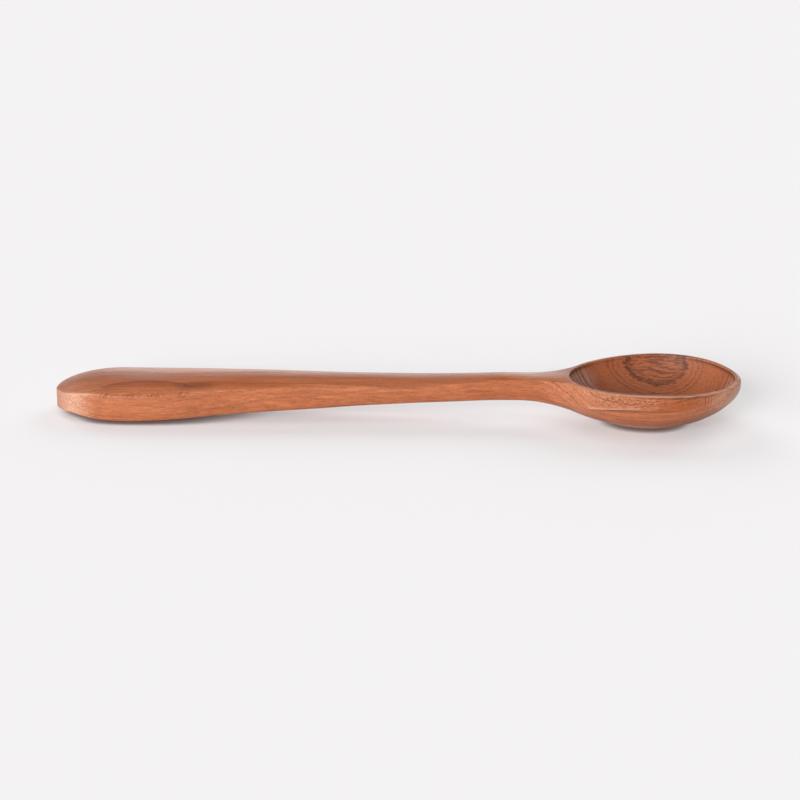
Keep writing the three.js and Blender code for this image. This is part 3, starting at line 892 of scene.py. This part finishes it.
def wood():
    """Reddish hardwood: growth layers cut at many angles, fibres along the spoon, and fine open pores."""
    material = bpy.data.materials.new("oiled_hardwood")
    material.use_nodes = True
    tree = material.node_tree
    shader = tree.nodes["Principled BSDF"]
    graph = Graph(tree)
    place = graph.scaled(graph.node("ShaderNodeTexCoord", {}).outputs["Object"], (1 / MM,) * 3)
    x, _, z = graph.split(place)
    facing = graph.split(graph.node("ShaderNodeNewGeometry", {}).outputs["Normal"])
    hollow, cut, painted_shade, painted_highlight = (
        graph.node("ShaderNodeAttribute", {}, attribute_name=name).outputs["Fac"]
        for name in ("hollow", "cut", "painted_shade", "painted_highlight"))
    outside = graph.math("SUBTRACT", 1.0, hollow)

    layers = layer_distance(graph, place)
    late = late_growth(graph, place, layers)
    dark = veins(graph, place, layers)
    streak = graph.eased(graph.noise(place, *STREAK_NOISE), *STREAK_RANGE)
    brown = graph.math("ADD", graph.eased(layers, *HEART), streak)
    fibre = graph.noise(place, *FIBRE_NOISE)
    grain = graph.noise(place, *GRAIN_NOISE)
    speck = graph.noise(place, *SPECK_NOISE)
    pore = graph.eased(graph.cells(place, PORE_CELLS), *PORE_RANGE)
    fleck = graph.eased(graph.noise(place, *FLECK_NOISE), *FLECK_RANGE)

    at_tip = graph.product(graph.eased(x, *END_AT_TIP), graph.eased(z, *END_ABOVE))
    at_ends = graph.math("ADD", graph.eased(x, *END_AT_BUTT), at_tip)
    end_grain = graph.eased(graph.math("ABSOLUTE", facing["X"]), *END_FACING)
    end_grain = graph.product(
        end_grain, at_ends, outside, graph.eased(facing["Z"], *END_UPWARD),
        graph.eased(x, *END_BESIDE_BUTT))
    pithward = graph.product(graph.eased(layers, *PITHWARD), outside, graph.eased(x, *FLECKS_ALONG))
    speckled = graph.math("MAXIMUM", end_grain, pithward)
    open_here = graph.eased(graph.noise(place, *OPEN_NOISE), *OPEN_RANGE)
    open_grain = graph.math("MAXIMUM", open_here, speckled)
    pale_layer = graph.eased(graph.gap(layers, PALE_LAYER), *PALE_RANGE)
    pale_layer = graph.product(pale_layer, graph.eased(x, *PALE_ALONG), hollow)

    tone = graph.blend(brown, PALE_WOOD, BROWN_WOOD)
    tone = graph.blend(graph.eased(layers, *DEEP_HEART), tone, HEART_WOOD)
    tone = patched(graph, place, tone)
    for share, colour in (
            (graph.product(end_grain, END_COVER), END_WOOD),
            (late, LATE_WOOD),
            (pale_layer, FLECK_WOOD),
            (dark, VEIN_WOOD),
            (graph.product(fleck, speckled, FLECK_COVER), FLECK_WOOD),
            (graph.product(pore, open_grain, PORE_COVER), PORE_WOOD),
            (graph.eased(cut, *CUT_RANGE), CUT_WOOD),
            # Painted highlights along the edges, then painted shade along them
            (graph.product(painted_highlight, PAINTED_HIGHLIGHT_COVER), PAINTED_HIGHLIGHT_COLOUR),
            (graph.product(painted_shade, PAINTED_SHADE_COVER), PAINTED_SHADE_COLOUR)):
        tone = graph.blend(share, tone, colour)
    lightness = graph.product(
        graph.eased(fibre, *FIBRE_LIGHTNESS), graph.eased(grain, *GRAIN_LIGHTNESS),
        graph.eased(speck, *SPECK_LIGHTNESS))
    shaded = graph.node("ShaderNodeHueSaturation", {"Value": lightness, "Color": tone})
    tree.links.new(shaded.outputs["Color"], shader.inputs["Base Color"])

    roughness = graph.eased(x, NECK_X, HEEL_X, *ROUGHNESS)
    roughness = graph.math("MULTIPLY_ADD", hollow, HOLLOW_ROUGHNESS, roughness)
    roughness = graph.math("ADD", roughness, graph.swing(fibre, FIBRE_ROUGHNESS))
    tree.links.new(roughness, shader.inputs["Roughness"])
    shader.inputs["Specular IOR Level"].default_value = SHEEN

    depth = graph.math("ADD", graph.math("MULTIPLY", late, LATE_DEPTH), pore)
    bump = graph.node("ShaderNodeBump", {
        "Height": graph.math("SUBTRACT", fibre, depth), "Strength": RELIEF_STRENGTH,
        "Distance": RELIEF * MM})
    tree.links.new(bump.outputs["Normal"], shader.inputs["Normal"])
    return material


spoon = bpy.data.objects.new("carved_spoon", weather(carved_mesh()))
bpy.context.scene.collection.objects.link(spoon)
spoon.data.materials.append(wood())
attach(spoon, "root")
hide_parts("spoon")

# Studio
FLOOR_HALF = 4
FLOOR_COLOUR = (0.9, 0.885, 0.895)
FLOOR_ROUGHNESS = 0.9
FLOOR_LIFT = 0.3  # share of the floor that looks evenly lit, as paper does under a raised white level
# Painted shade on the paper close under the spoon, found by ambient occlusion: its colour, reach, range and
# samples
CONTACT_SHADE_COLOUR = (0.24, 0.165, 0.15)
CONTACT_REACH = (1.5, 3, 2)  # under the butt, the swell and the bowl
CONTACT_OPENNESS = (0.1, 0.75)
CONTACT_SAMPLES = 8
LIGHTS = [  # name, azimuth, elevation, width, share of the floor's brightness, and whether it adds sheen
    ("front_light", -20, 20, 26, 0.265, True),
    ("left_light", -50, 15, 30, 0.09, True),
    ("far_left_light", -140, 32, 40, 0.165, False),
    ("far_right_light", 140, 32, 40, 0.155, False),
    ("upper_light", 0, 75, 50, 0.18, True),
    ("low_far_light", 180, 8, 24, 0.0085, True)]


def paper():
    """White paper whose shadows are a little lifted, with shade painted deeper where the spoon lies close
    above it.
    """
    material = bpy.data.materials.new("floor_paper")
    material.use_nodes = True
    tree = material.node_tree
    shader = tree.nodes["Principled BSDF"]
    graph = Graph(tree)
    x = graph.split(graph.node("ShaderNodeTexCoord", {}).outputs["Object"])["X"]
    at_butt, at_swell, at_bowl = (reach * MM for reach in CONTACT_REACH)
    reach = graph.math(
        "MINIMUM", graph.eased(x, BUTT_X * MM, SWELL_X * MM, at_butt, at_swell),
        graph.eased(x, GRIP_X * MM, HEEL_X * MM, at_swell, at_bowl))
    openness = graph.node("ShaderNodeAmbientOcclusion", {"Distance": reach}, samples=CONTACT_SAMPLES)
    seen = graph.node("ShaderNodeLightPath", {}).outputs["Is Camera Ray"]
    # Painted shade where the spoon lies close above, seen by the camera only
    bare = graph.math(
        "MAXIMUM", graph.eased(openness.outputs["AO"], *CONTACT_OPENNESS),
        graph.math("SUBTRACT", 1.0, seen))
    colour = graph.blend(bare, CONTACT_SHADE_COLOUR, FLOOR_COLOUR)
    tree.links.new(colour, shader.inputs["Base Color"])
    shader.inputs["Roughness"].default_value = FLOOR_ROUGHNESS
    shader.inputs["Specular IOR Level"].default_value = 0.0
    lift = graph.node("ShaderNodeEmission", {"Color": colour, "Strength": 1.0}).outputs[0]
    share = graph.math("MULTIPLY", seen, FLOOR_LIFT)
    both = graph.node("ShaderNodeMixShader", {0: share, 1: shader.outputs[0], 2: lift}).outputs[0]
    tree.links.new(both, tree.nodes["Material Output"].inputs["Surface"])
    return material


floor_mesh = bpy.data.meshes.new("floor")
floor_mesh.from_pydata(
    [(-FLOOR_HALF, -FLOOR_HALF, 0), (FLOOR_HALF, -FLOOR_HALF, 0),
     (FLOOR_HALF, FLOOR_HALF, 0), (-FLOOR_HALF, FLOOR_HALF, 0)], [], [(0, 1, 2, 3)])
floor = bpy.data.objects.new("floor", floor_mesh)
bpy.context.scene.collection.objects.link(floor)
floor.data.materials.append(paper())


def away_from_spoon(azimuth, elevation):
    """A direction. Azimuth 0 is in front of the spoon, on the camera's side, and 90 is on its right."""
    a, e = math.radians(azimuth), math.radians(elevation)
    return Vector((math.sin(a) * math.cos(e), -math.cos(a) * math.cos(e), math.sin(e)))


def soft_light(name, azimuth, elevation, width, floor_share, sheen):
    """A distant soft light that gives the floor a share of its brightness."""
    lamp = bpy.data.lights.new(name, "SUN")
    lamp.angle = math.radians(width)
    lamp.energy = floor_share * math.pi / math.sin(math.radians(elevation))
    holder = bpy.data.objects.new(name, lamp)
    holder.rotation_euler = away_from_spoon(azimuth, elevation).to_track_quat("Z", "Y").to_euler()
    holder.visible_glossy = sheen
    bpy.context.scene.collection.objects.link(holder)


for light in LIGHTS:
    soft_light(*light)

# White low behind the spoon, like the far sweep of the paper, and a dim room elsewhere
SWEEP_TOP = math.sin(math.radians(9))
ROOM_FROM = math.sin(math.radians(27))
SWEEP_SIDES = (0.1, 0.6)
ROOM_LEVEL = 0.12

world = bpy.data.worlds.new("studio")
bpy.context.scene.world = world
world.use_nodes = True
sky = Graph(world.node_tree)
direction = sky.split(sky.node("ShaderNodeTexCoord", {}).outputs["Generated"])
low = sky.eased(direction["Z"], SWEEP_TOP, ROOM_FROM, 1.0, 0.0)
behind = sky.eased(direction["Y"], *SWEEP_SIDES)
level = sky.math("MAXIMUM", sky.product(low, behind), ROOM_LEVEL)
seen = sky.node("ShaderNodeLightPath", {}).outputs["Is Camera Ray"]
background = world.node_tree.nodes["Background"]
background.inputs["Color"].default_value = (1, 1, 1, 1)
world.node_tree.links.new(sky.math("MAXIMUM", level, seen), background.inputs["Strength"])

# Camera
AZIMUTH = 3.377
ELEVATION = 21
DISTANCE = 0.8
AIM = Vector((1.205, -1.049, 5.826)) * MM
LENS = 123.25
SENSOR_WIDTH = 36

back = away_from_spoon(AZIMUTH, ELEVATION)
camera_data = bpy.data.cameras.new("camera")
camera_data.lens = LENS
camera_data.sensor_width = SENSOR_WIDTH
camera = bpy.data.objects.new("camera", camera_data)
camera.location = AIM + back * DISTANCE
camera.rotation_euler = back.to_track_quat("Z", "Y").to_euler()
bpy.context.scene.collection.objects.link(camera)
bpy.context.scene.camera = camera
bpy.context.scene.view_settings.view_transform = "Standard"
